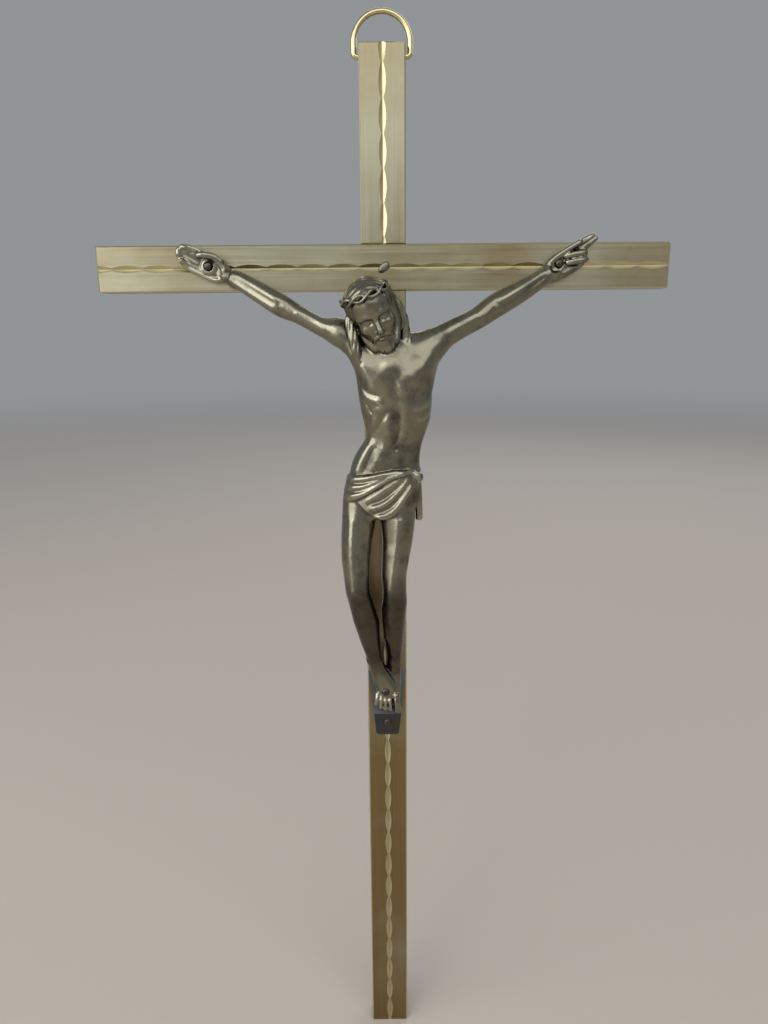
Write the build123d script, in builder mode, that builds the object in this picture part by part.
from build123d import *
from math import asin, atan, cos, degrees, radians, sin
import os

# A wall crucifix: two lapped brass bars, a hanging ring, a cast figure and its footrest.
# Millimetres. +Z is up, the front looks along -Y and +X is the viewer's right. The origin is the
# middle of the crossing on the back of the cross, which lies on the wall. Left and right are the
# viewer's.

os.makedirs("parts", exist_ok=True)

# Bars
bar_width = 12.0
bar_thickness = 6.0
upright_above = 54.2  # crossing to the top end
upright_below = 250.4  # crossing to the bottom end
crossbar_length = 154.0
edge_bevel = 0.35
lap_clearance = 0.08  # beside each cheek of the lap joint
lap_edge_bevel = 0.2

# Scalloped V groove
scallop_pitch = 8.3
groove_depth = 0.65  # at the middle of a scallop
neck_depth = 0.22  # where two scallops meet
groove_flare = 1.5  # half width for each unit of depth
wheel_overrun = 1.3  # length of each wheel cut, in pitches
neck_height = -0.4  # a neck of the upright's groove, from the crossing
neck_across = 1.6  # and one of the crossbar's

# Hanging ring
wire_diameter = 1.5
wire_flats = 8  # round the drawn wire; its two pins are turned
ring_side_gap = 0.5  # between the wire and the side of the upright
ring_rise = 3.2  # pin axis up to the middle of the round
pin_drop = 2.7  # top of the upright down to the pin axis
pin_reach = 3.2  # length of each bent end inside the upright
pin_bend = 1.0
pin_clearance = 0.08
hole_deburr = 0.35

# Fasteners
fastener_clearance = 0.05
head_facets = 12  # hammer facets round a head
head_rim = 0.4  # share of a head's height that is upright at its rim
head_flat = 0.55  # share of its radius that is flat on top
lap_rivet_diameter = 1.6
lap_rivet_head_length = 3.0
lap_rivet_head_width = 1.9
lap_rivet_head_height = 0.8
lap_rivet_turn = 45.0
hand_nail_diameter = 1.1
hand_nail_head_diameter = 2.0
hand_nail_head_height = 0.6
foot_nail_diameter = 1.2
foot_nail_head_diameter = 2.3
foot_nail_head_height = 0.7
plate_rivet_diameter = 1.4
plate_rivet_head_diameter = 2.5
plate_rivet_head_height = 0.7

# Footrest
footrest_drop = 117.6  # crossing down to the top of the ledge
ledge_reach = 6.7
ledge_fall = 11.1
plate_height = 8.4
plate_lean = 2.6  # the plate's lower edge stands this much nearer the bar
ledge_inset = 0.2  # ledge's top corners in from the sides of the upright
ledge_front_width = 8.2
plate_foot_width = 6.8
plate_corner = 1.0
rim_width = 0.8
rim_height = 0.5
plate_rivet_drop = 3.6  # ledge's front edge down to the rivet
plate_rivet_sink = 0.35  # flat spot for the rivet head, into the plate

# Figure: where it is pinned to the cross
palm_reach = 46.5
palm_height = 0.4
palm_thickness = 3.2
foot_nail_drop = 2.6  # top of the ledge down to the foot nail
foot_nail_shift = -0.5
feet_stack = 7.6  # both feet, from the ledge to under the nail head

# Figure: flats round each form of the casting
broad_sides = 12
slim_sides = 6
swelling_bands = 5

# Figure: joints of the skeleton as (across, out from the bars, height)
shoulder_left = (-11.9, 9.0, -17.2)
shoulder_right = (12.0, 9.0, -20.2)
neck_base = (0.6, 8.6, -20.0)
head_centre = (-3.1, 13.6, -11.9)
head_tilt = -23.0  # crown of the head towards the viewer's left
head_bow = 22.0  # crown of the head forward
hip_left = (-7.4, 8.2, -60.0)
hip_right = (3.0, 8.0, -60.0)
knee_share = 0.56  # of the way down from hip to ankle
knee_left = (-8.4, 12.0)
knee_right = (2.2, 11.2)
ankle_rise_left = 8.0  # over the top of the ledge
ankle_rise_right = 7.0
ankle_left = (-4.05, 6.7)
ankle_right = (1.45, 4.6)

# Figure: girths of the limbs as (share of the way along, half width, half depth)
arm_left_girth = [(-0.2, 2.2, 2.4), (0.0, 3.5, 3.5), (0.15, 2.6, 2.8), (0.3, 2.3, 2.5), (0.44, 3.0, 2.8)]
arm_left_girth += [(0.61, 2.75, 2.6), (0.82, 2.35, 2.1), (1.0, 2.6, 1.7)]
arm_right_girth = [(-0.2, 2.4, 2.6), (0.0, 3.8, 3.6), (0.19, 3.05, 3.0), (0.36, 2.9, 2.8), (0.5, 3.3, 3.0)]
arm_right_girth += [(0.63, 3.15, 2.9), (0.79, 2.65, 2.4), (0.92, 2.3, 2.0), (1.0, 2.6, 1.7)]
thigh_girth = [(0.0, 4.6, 5.0), (0.27, 4.8, 4.9), (0.5, 4.2, 4.6), (0.7, 3.95, 4.2), (0.88, 3.55, 3.8)]
shin_girth = [(0.0, 3.3, 3.6), (0.2, 3.3, 3.5), (0.43, 3.4, 3.8), (0.75, 2.6, 2.9), (1.0, 2.0, 2.3)]

# Figure: feet as (share of the way down the ledge, across, lift off it, half width, half depth)
foot_left_sections = [(-0.37, -2.6, 9.2, 2.35, 2.5), (0.0, -1.2, 7.2, 2.9, 2.3)]
foot_left_sections += [(0.35, -0.5, 5.4, 3.3, 1.8), (0.55, 0.6, 4.5, 2.5, 1.3), (0.68, 1.4, 4.0, 1.5, 0.7)]
foot_right_sections = [(-0.23, 1.2, 5.6, 2.4, 2.3), (0.17, 0.8, 3.2, 2.9, 2.4), (0.53, 0.4, 1.7, 3.0, 1.9)]
foot_right_sections += [(0.8, 0.1, 0.8, 2.6, 1.2)]

# Figure: the trunk as (height, centre across, half width, centre out, half depth)
trunk_sections = [
    (-16.2, 0.2, 6.6, 8.4, 2.8),
    (-19.2, 0.8, 10.0, 8.8, 4.6),
    (-24.7, 1.8, 10.7, 9.2, 6.2),
    (-29.6, 2.3, 10.1, 9.5, 7.0),
    (-34.6, 2.7, 9.7, 9.3, 6.4),
    (-40.0, 2.8, 9.1, 9.0, 5.6),
    (-44.5, 2.4, 7.9, 8.6, 4.9),
    (-49.0, 0.8, 8.5, 8.4, 4.9),
    (-54.0, -0.3, 9.7, 8.1, 5.4),
    (-60.0, -0.9, 10.4, 8.0, 5.8),
    (-66.0, -1.6, 9.2, 8.4, 5.2),
]

# Figure: rounded masses as (across, out, height) with half sizes (wide, deep, tall)
knot = ((8.7, 10.6, -55.2), (1.8, 1.8, 1.9))
drape = ((0.4, 10.2, -59.0), (8.4, 5.3, 7.5))

# Figure: the loincloth as trunk sections, its folds and its hanging end
cloth_sections = [(-53.3, -0.3, 10.0, 8.1, 5.8), (-57.0, -0.7, 10.9, 8.0, 6.3)]
cloth_sections += [(-61.0, -1.0, 11.0, 8.0, 6.3), (-63.6, -1.3, 10.6, 8.1, 5.9)]
tail_sections = [(-55.5, 8.6, 1.0, 9.6, 1.5), (-61.0, 9.2, 1.1, 8.2, 1.3), (-68.6, 9.5, 1.2, 6.9, 1.0)]
fold_count = 4
fold_start = (7.8, 12.0, -55.6)
fold_middle = (-0.8, 15.0, -55.8)
fold_end = (-10.0, 10.6, -57.4)
fold_step = (1.9, 0.55, -2.75)  # from each fold's end to the next one's
fold_girth = [(0.0, 0.5), (0.3, 0.8), (0.55, 0.9), (0.8, 0.75), (1.0, 0.35)]

# Figure: hands, with points as (along the hand, across it, out) from the nail
hand_lie_left = 153.5  # degrees from the viewer's right
hand_lie_right = 35.5
palm_mass = (5.6, 3.5, 1.9)
finger_girth = [(0.0, 1.0), (0.55, 0.95), (0.9, 0.75), (1.0, 0.4)]
fingers_left = [((2.8, 2.4, 1.8), (7.6, 1.9, 2.6)), ((3.2, 0.8, 1.9), (8.9, 0.5, 2.7))]
fingers_left += [((3.2, -0.8, 1.9), (9.4, -0.9, 2.6)), ((2.8, -2.3, 1.8), (8.6, -2.3, 2.4))]
fingers_left += [((-2.0, -2.9, 2.0), (3.6, -4.0, 2.6))]
fingers_right = [((3.0, 1.2, 1.8), (12.4, 0.6, 1.9)), ((3.2, -0.5, 1.8), (11.0, -1.1, 2.0))]
fingers_right += [((-1.6, 2.2, 2.0), (5.2, 2.8, 2.4))]
curled_right = [((5.0, -1.7, 2.7), (2.0, 1.0, 1.6)), ((4.5, -3.2, 2.4), (1.8, 1.0, 1.5))]

# Figure: toes of the upper foot, from the little one to the great one
toe_count = 5
toe_first = (0.43, -3.0, 5.6)  # share down the ledge, across, lift off it
toe_last = (0.7, 2.2, 4.2)
toe_half_width = (0.7, 1.1)
toe_half_length = 1.6

# Figure: head, in its own frame with the face towards -Y, as (height, half width, middle, half depth)
head_sections = [(8.4, 2.2, 0.6, 2.6), (7.0, 4.4, 0.6, 4.8), (4.6, 6.0, 0.5, 6.6), (1.6, 6.4, 0.4, 7.2)]
head_sections += [(-0.4, 6.0, 0.2, 6.4), (-2.6, 5.6, -0.5, 6.2), (-5.2, 4.9, -1.2, 5.7)]
head_sections += [(-8.2, 3.9, -2.2, 4.8), (-11.2, 2.0, -3.4, 2.8)]
hair_sections = [(7.4, 3.6, 1.4, 4.2), (3.6, 6.9, 1.4, 6.4), (0.0, 7.2, 2.4, 5.8), (-4.0, 6.8, 3.0, 4.8)]
hair_sections += [(-9.0, 5.2, 3.4, 3.4)]
nose_bridge = (0, -6.4, 0.8)
nose_tip = (0, -7.1, -3.4)
nose_girth = [(0.0, 0.5, 0.8), (0.8, 1.0, 1.0), (1.0, 0.7, 0.6)]
crown_middle = (0, 0.0, 3.4)
crown_radius = 6.7
crown_half_girth = 0.9
crown_lift = -13.0  # the crown sits higher over the brow
neck_girth = [(0.0, 4.6, 4.2), (0.5, 3.6, 3.8), (1.0, 4.0, 4.2)]
lock_left = [(-13.5, -7.4, 1.5, 13.2, 1.8), (-19.5, -7.6, 1.6, 13.9, 1.6), (-24.2, -6.4, 0.6, 14.4, 0.6)]
lock_right = [(-9.0, 1.4, 2.0, 10.4, 2.8), (-15.0, 3.9, 2.1, 10.0, 2.6), (-21.0, 6.2, 1.2, 10.0, 1.4)]

# Working values
front = -bar_thickness
lap_depth = bar_thickness / 2
pin_height = upright_above - pin_drop
ring_radius = bar_width / 2 + ring_side_gap + wire_diameter / 2
ledge_top = -footrest_drop
ledge_front = ledge_top - ledge_fall
plate_foot = ledge_front - plate_height
foot_nail_height = ledge_top - foot_nail_drop
foot_nail_seat = ledge_reach * foot_nail_drop / ledge_fall + feet_stack
plate_rivet_height = ledge_front - plate_rivet_drop
plate_rivet_seat = ledge_reach - plate_lean * plate_rivet_drop / plate_height - plate_rivet_sink
wheel_sink = groove_depth - neck_depth
wheel_radius = (scallop_pitch**2 / 4 + wheel_sink**2) / (2 * wheel_sink)
scallops_above = int(upright_above / scallop_pitch) + 1
scallops_below = int(upright_below / scallop_pitch) + 1
scallops_beside = int(crossbar_length / 2 / scallop_pitch) + 1


def at(across, out, height):
    """A point in front of the bars: across, out from their front face, and up."""
    return Vector(across, front - out, height)


def facing(point, lie=0):
    """A plane through a point, looking out of the front of the cross and lying along a direction."""
    return Plane(origin=point, x_dir=(cos(radians(lie)), 0, sin(radians(lie))), z_dir=(0, -1, 0))


def between(start, end, share):
    """The point that lies a share of the way from one point to another."""
    return start + (end - start) * share


def level(point):
    """A level section plane through a point of the figure."""
    return Plane(origin=point, x_dir=(1, 0, 0), z_dir=(0, 0, 1))


def square_to(start, end, share):
    """A section plane a share of the way along a straight limb, square to it."""
    along = (end - start).normalized()
    across = along.cross(Vector(0, 1, 0)).normalized()
    return Plane(origin=between(start, end, share), x_dir=across, z_dir=along)


def oval(wide, deep, sides):
    """A section of the casting: an oval of short flats."""
    corners = [radians(360 * (corner + 0.5) / sides) for corner in range(sides)]
    Polygon(*[(wide * cos(turn), deep * sin(turn)) for turn in corners], align=None)


def limb(stations, sides=broad_sides):
    """A cast limb through oval sections, each a plane with its half width and half depth."""
    with BuildPart() as body:
        for plane, wide, deep in stations:
            with BuildSketch(plane):
                oval(wide, deep, sides)
        loft(ruled=True)
    return body.part


def straight_limb(start, end, girth, sides=broad_sides):
    """A limb along a straight line, with its girth at shares of the way."""
    return limb([(square_to(start, end, share), wide, deep) for share, wide, deep in girth], sides)


def swelling(place, wide, deep, tall, sides=broad_sides):
    """A rounded mass of the casting, by its three half sizes."""
    bands = [radians(180 * (band + 0.5) / swelling_bands - 90) for band in range(swelling_bands)]
    stations = [(Plane.XY.offset(tall * sin(turn)), wide * cos(turn), deep * cos(turn)) for turn in bands]
    return place * limb(stations, sides)


def fastener(seat, diameter, head_diameter, head_height):
    """A nail or rivet with a hammered head over its seat; its shank runs to the back of the cross."""
    rim = head_diameter / 2
    rim_height = head_rim * head_height
    top_height = head_height - rim_height
    with BuildPart() as body:
        with BuildSketch():
            Circle(diameter / 2)
        extrude(amount=seat.Y)
        with BuildSketch():
            RegularPolygon(rim, head_facets)
        extrude(amount=rim_height)
        with BuildSketch(Plane.XY.offset(rim_height)):
            RegularPolygon(rim, head_facets)
        extrude(amount=top_height, taper=degrees(atan((1 - head_flat) * rim / top_height)))
    return facing(seat).location * body.part


def drill_for(diameter, head_diameter, depth):
    """A clearance hole for a nail or rivet, and room for its head over the seat."""
    Hole(diameter / 2 + fastener_clearance, depth=depth)
    with Locations((0, 0, depth / 2)):
        Cylinder(head_diameter / 2 + fastener_clearance, depth, mode=Mode.SUBTRACT)


def leg_stations(hip, knee, ankle, foot_sections):
    """Level sections down a leg: thigh, shin and the foot along the sloping ledge."""
    stations = [(level(between(hip, knee, share)), wide, deep) for share, wide, deep in thigh_girth]
    stations += [(level(between(knee, ankle, share)), wide, deep) for share, wide, deep in shin_girth]
    for share, across, lift, wide, deep in foot_sections:
        spot = at(across, share * ledge_reach + lift, ledge_top - share * ledge_fall)
        stations.append((level(spot), wide, deep))
    return stations


def trunk(sections, sides=broad_sides):
    """A standing form through level ovals: height, place across, half width, out and half depth."""
    stations = []
    for height, across, wide, out, deep in sections:
        stations.append((level(at(across, out, height)), wide, deep))
    return limb(stations, sides)


def hand(palm, fingers, curled):
    """A palm with its fingers, on a plane that lies along the hand at the nail."""
    pieces = [swelling(palm.location * Location((0, 0, palm_thickness / 2)), *palm_mass)]
    for root, tip in fingers:
        girth = [(share, half, half) for share, half in finger_girth]
        start, end = palm.from_local_coords(root), palm.from_local_coords(tip)
        pieces.append(straight_limb(start, end, girth, slim_sides))
    for place, half_sizes in curled:
        pieces.append(swelling(palm.location * Location(place), *half_sizes, slim_sides))
    return pieces


# One scallop of the groove, as a V-edged wheel cuts it: neighbouring cuts meet at the necks
wheel_arc = 2 * degrees(asin(wheel_overrun * scallop_pitch / 2 / wheel_radius))
with BuildPart() as wheel:
    with BuildSketch(Plane.XZ):
        rim, hub = -wheel_radius, 2 * groove_depth - wheel_radius
        half_mouth = (hub - rim) * groove_flare
        Polygon((0, rim), (half_mouth, hub), (-half_mouth, hub), align=None)
    revolve(axis=Axis.X, revolution_arc=wheel_arc)
scallop = Location((0, 0, wheel_radius - groove_depth)) * Rotation(-wheel_arc / 2, 0, 0) * wheel.part

# Upright: a flat bar, grooved, notched at the front and cross-drilled for the ring
with BuildPart() as upright:
    with Locations((0, front / 2, (upright_above - upright_below) / 2)):
        Box(bar_width, bar_thickness, upright_above + upright_below)
    chamfer(upright.edges(), edge_bevel)
    with Locations((0, front, 0)):
        Box(bar_width, 2 * lap_depth, bar_width + 2 * lap_clearance, mode=Mode.SUBTRACT)
    front_edges = upright.edges().filter_by(Axis.X).group_by(Axis.Y)[0]
    chamfer(front_edges.sort_by(lambda edge: abs(edge.center().Z))[:2], lap_edge_bevel)
    with Locations(facing((0, front, neck_height - (scallops_below - 0.5) * scallop_pitch))):
        run_up = (Align.CENTER, Align.MIN)
        with GridLocations(1, scallop_pitch, 1, scallops_below + scallops_above, align=run_up):
            add(scallop, mode=Mode.SUBTRACT)
    with Locations(facing((0, front, 0))):
        Hole(lap_rivet_diameter / 2 + fastener_clearance, depth=bar_thickness)
    with Locations(facing(at(foot_nail_shift, 0, foot_nail_height))):
        Hole(foot_nail_diameter / 2 + fastener_clearance, depth=bar_thickness)
    with Locations(facing(at(0, 0, plate_rivet_height))):
        Hole(plate_rivet_diameter / 2 + fastener_clearance, depth=bar_thickness)
    pin_mouth = Vector(bar_width / 2, front / 2, pin_height)
    other_mouth = pin_mouth - Vector(bar_width, 0, 0)
    with Locations(Plane(pin_mouth, z_dir=(1, 0, 0)), Plane(other_mouth, z_dir=(-1, 0, 0))):
        CounterSinkHole(
            wire_diameter / 2 + pin_clearance,
            wire_diameter / 2 + pin_clearance + hole_deburr,
            depth=bar_width / 2,
            counter_sink_angle=90,
        )
upright.part.label = "upright"
export_step(upright.part, "parts/upright.step")

# Crossbar: the same stock, grooved along its front and notched at the back
with BuildPart() as crossbar:
    with Locations((0, front / 2, 0)):
        Box(crossbar_length, bar_thickness, bar_width)
    chamfer(crossbar.edges(), edge_bevel)
    with Locations(Plane((neck_across, front, 0), x_dir=(0, 0, 1), z_dir=(0, -1, 0))):
        with GridLocations(1, scallop_pitch, 1, 2 * scallops_beside):
            add(scallop, mode=Mode.SUBTRACT)
    Box(bar_width + 2 * lap_clearance, 2 * lap_depth, bar_width, mode=Mode.SUBTRACT)
    with Locations(facing((0, front, 0))):
        Hole(lap_rivet_diameter / 2 + fastener_clearance, depth=bar_thickness)
    with Locations(facing(at(-palm_reach, 0, palm_height)), facing(at(palm_reach, 0, palm_height))):
        Hole(hand_nail_diameter / 2 + fastener_clearance, depth=bar_thickness)
crossbar.part.label = "crossbar"
export_step(crossbar.part, "parts/crossbar.step")

# Lap rivet: a shank through both halves of the lap, with a hammered oval head
with BuildPart() as lap_rivet:
    with Locations((0, front / 2, 0)):
        Cylinder(lap_rivet_diameter / 2, bar_thickness, rotation=(90, 0, 0))
    hammered = swelling(
        Location((0, front, 0), (0, -lap_rivet_turn, 0)),
        lap_rivet_head_length / 2,
        lap_rivet_head_height,
        lap_rivet_head_width / 2,
    )
    with BuildPart(mode=Mode.PRIVATE) as oval_head:
        add(hammered)
        split(bisect_by=facing((0, front, 0)), keep=Keep.TOP)
    add(oval_head.part)
lap_rivet.part.label = "lap_rivet"
export_step(lap_rivet.part, "parts/lap_rivet.step")

# Hanging ring: one wire, its ends bent in to make the two pins
with BuildPart() as hanging_ring:
    middle = front / 2
    hoop_height = pin_height + ring_rise
    bend_height = pin_height + pin_bend
    with BuildSketch(Plane((ring_radius, middle, hoop_height))):
        RegularPolygon(wire_diameter / 2, wire_flats)
    revolve(axis=Axis((0, middle, hoop_height), (0, -1, 0)), revolution_arc=180)
    for side in (-1, 1):
        with BuildSketch(Plane((side * ring_radius, middle, bend_height))) as wire:
            RegularPolygon(wire_diameter / 2, wire_flats)
        extrude(amount=ring_rise - pin_bend)
        bend_axis = Axis((side * (ring_radius - pin_bend), middle, bend_height), (0, side, 0))
        revolve(wire.sketch, axis=bend_axis, revolution_arc=90)
        pin_foot = Plane((side * (ring_radius - pin_bend), middle, pin_height), z_dir=(-side, 0, 0))
        with BuildSketch(pin_foot):
            Circle(wire_diameter / 2)
        extrude(amount=ring_radius - pin_bend - bar_width / 2 + pin_reach)
hanging_ring.part.label = "hanging_ring"
export_step(hanging_ring.part, "parts/hanging_ring.step")

# Footrest: a tapered wedge whose sloping ledge is sunk between two thin rims
with BuildPart() as footrest_blank:
    with BuildSketch(Plane.YZ):
        with BuildLine():
            Polyline(
                (front, ledge_top),
                (front - ledge_reach, ledge_front),
                (front - ledge_reach + plate_lean, plate_foot),
                (front, plate_foot),
                close=True,
            )
        make_face()
    extrude(amount=bar_width, both=True)
    with BuildSketch(facing((0, front, 0))) as outline:
        with BuildLine():
            Polyline(
                (bar_width / 2 - ledge_inset, ledge_top),
                (ledge_front_width / 2, ledge_front),
                (plate_foot_width / 2, plate_foot),
                (-plate_foot_width / 2, plate_foot),
                (-ledge_front_width / 2, ledge_front),
                (-bar_width / 2 + ledge_inset, ledge_top),
                close=True,
            )
        make_face()
        fillet(outline.vertices().group_by(Axis.Y)[0], plate_corner)
    extrude(amount=ledge_reach, mode=Mode.INTERSECT)
    slope = Vector(0, -ledge_reach, -ledge_fall).normalized()
    ledge_plane = Plane(origin=(0, front, ledge_top), x_dir=(1, 0, 0), z_dir=Vector(1, 0, 0).cross(slope))
    ledge_length = Vector(0, ledge_reach, ledge_fall).length
    with BuildSketch(ledge_plane):
        with BuildLine():
            Polyline(
                (bar_width / 2 - ledge_inset - rim_width, -rim_width),
                (ledge_front_width / 2 - rim_width, 2 * ledge_length),
                (-ledge_front_width / 2 + rim_width, 2 * ledge_length),
                (-bar_width / 2 + ledge_inset + rim_width, -rim_width),
                close=True,
            )
        make_face()
    extrude(amount=-rim_height, mode=Mode.SUBTRACT)

with BuildPart() as footrest:
    add(footrest_blank.part)
    with Locations(facing(at(foot_nail_shift, ledge_reach, foot_nail_height))):
        Hole(foot_nail_diameter / 2 + fastener_clearance, depth=ledge_reach)
    with Locations(facing(at(0, plate_rivet_seat, plate_rivet_height))):
        drill_for(plate_rivet_diameter, plate_rivet_head_diameter, plate_rivet_seat)
footrest.part.label = "footrest"
export_step(footrest.part, "parts/footrest.step")

# Nails and the plate rivet: each runs through to the back of the cross and is filed flush there
palm_left = at(-palm_reach, palm_thickness, palm_height)
palm_right = at(palm_reach, palm_thickness, palm_height)
instep = at(foot_nail_shift, foot_nail_seat, foot_nail_height)
plate_spot = at(0, plate_rivet_seat, plate_rivet_height)

with BuildPart() as hand_nail_left:
    add(fastener(palm_left, hand_nail_diameter, hand_nail_head_diameter, hand_nail_head_height))
hand_nail_left.part.label = "hand_nail_left"
export_step(hand_nail_left.part, "parts/hand_nail_left.step")

with BuildPart() as hand_nail_right:
    add(fastener(palm_right, hand_nail_diameter, hand_nail_head_diameter, hand_nail_head_height))
hand_nail_right.part.label = "hand_nail_right"
export_step(hand_nail_right.part, "parts/hand_nail_right.step")

with BuildPart() as foot_nail:
    add(fastener(instep, foot_nail_diameter, foot_nail_head_diameter, foot_nail_head_height))
foot_nail.part.label = "foot_nail"
export_step(foot_nail.part, "parts/foot_nail.step")

with BuildPart() as footrest_rivet:
    add(fastener(plate_spot, plate_rivet_diameter, plate_rivet_head_diameter, plate_rivet_head_height))
footrest_rivet.part.label = "footrest_rivet"
export_step(footrest_rivet.part, "parts/footrest_rivet.step")

# Figure: one casting, built up from lofted limbs and rounded masses
ankle_height_left = ledge_top + ankle_rise_left
ankle_height_right = ledge_top + ankle_rise_right
knee_height_left = hip_left[2] + (ankle_height_left - hip_left[2]) * knee_share
knee_height_right = hip_right[2] + (ankle_height_right - hip_right[2]) * knee_share
leg_left = limb(
    leg_stations(
        at(*hip_left),
        at(*knee_left, knee_height_left),
        at(*ankle_left, ankle_height_left),
        foot_left_sections,
    )
)
leg_right = limb(
    leg_stations(
        at(*hip_right),
        at(*knee_right, knee_height_right),
        at(*ankle_right, ankle_height_right),
        foot_right_sections,
    )
)
toes = []
for toe in range(toe_count):
    share = toe / (toe_count - 1)
    down, across, lift = (first + (last - first) * share for first, last in zip(toe_first, toe_last))
    half_width = toe_half_width[0] + (toe_half_width[1] - toe_half_width[0]) * share
    toe_place = Location(at(across, down * ledge_reach + lift, ledge_top - down * ledge_fall))
    toes.append(swelling(toe_place, half_width, half_width, toe_half_length, slim_sides))

wrist_left = at(-palm_reach, palm_thickness / 2, palm_height)
wrist_right = at(palm_reach, palm_thickness / 2, palm_height)
arm_left = straight_limb(at(*shoulder_left), wrist_left, arm_left_girth)
arm_right = straight_limb(at(*shoulder_right), wrist_right, arm_right_girth)
palm_plane_left = facing(at(-palm_reach, 0, palm_height), hand_lie_left)
palm_plane_right = facing(at(palm_reach, 0, palm_height), hand_lie_right)
hands = hand(palm_plane_left, fingers_left, []) + hand(palm_plane_right, fingers_right, curled_right)

head_place = Location(at(*head_centre)) * Rotation(0, head_tilt, 0) * Rotation(head_bow, 0, 0)
head = []
for sections in (head_sections, hair_sections):
    stations = [(level((0, middle, height)), wide, deep) for height, wide, middle, deep in sections]
    head.append(head_place * limb(stations))
head.append(head_place * straight_limb(Vector(*nose_bridge), Vector(*nose_tip), nose_girth, slim_sides))
with BuildPart() as crown:
    with BuildSketch(Plane.XZ):
        with Locations((crown_radius, 0)):
            RegularPolygon(crown_half_girth, slim_sides)
    revolve(axis=Axis.Z)

folds = []
for fold in range(fold_count):
    lower = Vector(0, 0, fold_step[2] * fold)
    fold_arc = ThreePointArc(
        at(*fold_start) + lower * 0.2,
        at(*fold_middle) + lower,
        at(*fold_end) + lower + Vector(fold_step[0] * fold, -fold_step[1] * fold, 0),
        mode=Mode.PRIVATE,
    )
    folds.append(limb([(Plane(fold_arc ^ share), half, half) for share, half in fold_girth], slim_sides))

with BuildPart() as corpus:
    add(trunk(trunk_sections))
    add([arm_left, arm_right, leg_left, leg_right])
    add(straight_limb(at(*neck_base), at(*head_centre), neck_girth))
    add(head)
    add([trunk(lock_left, slim_sides), trunk(lock_right, slim_sides)])
    add(head_place * Location(crown_middle, (crown_lift, 0, 0)) * crown.part)
    add(trunk(cloth_sections))
    add([swelling(Location(at(*place)), *half_sizes) for place, half_sizes in (drape, knot)])
    add(trunk(tail_sections, slim_sides))
    add(folds)
    add(hands)
    add(toes)
    split(bisect_by=facing((0, front, 0)), keep=Keep.TOP)
    add(footrest_blank.part, mode=Mode.SUBTRACT)
    with Locations(facing(palm_left), facing(palm_right)):
        drill_for(hand_nail_diameter, hand_nail_head_diameter, palm_thickness)
    with Locations(facing(instep)):
        drill_for(foot_nail_diameter, foot_nail_head_diameter, foot_nail_seat)
corpus.part.label = "corpus"
export_step(corpus.part, "parts/corpus.step")
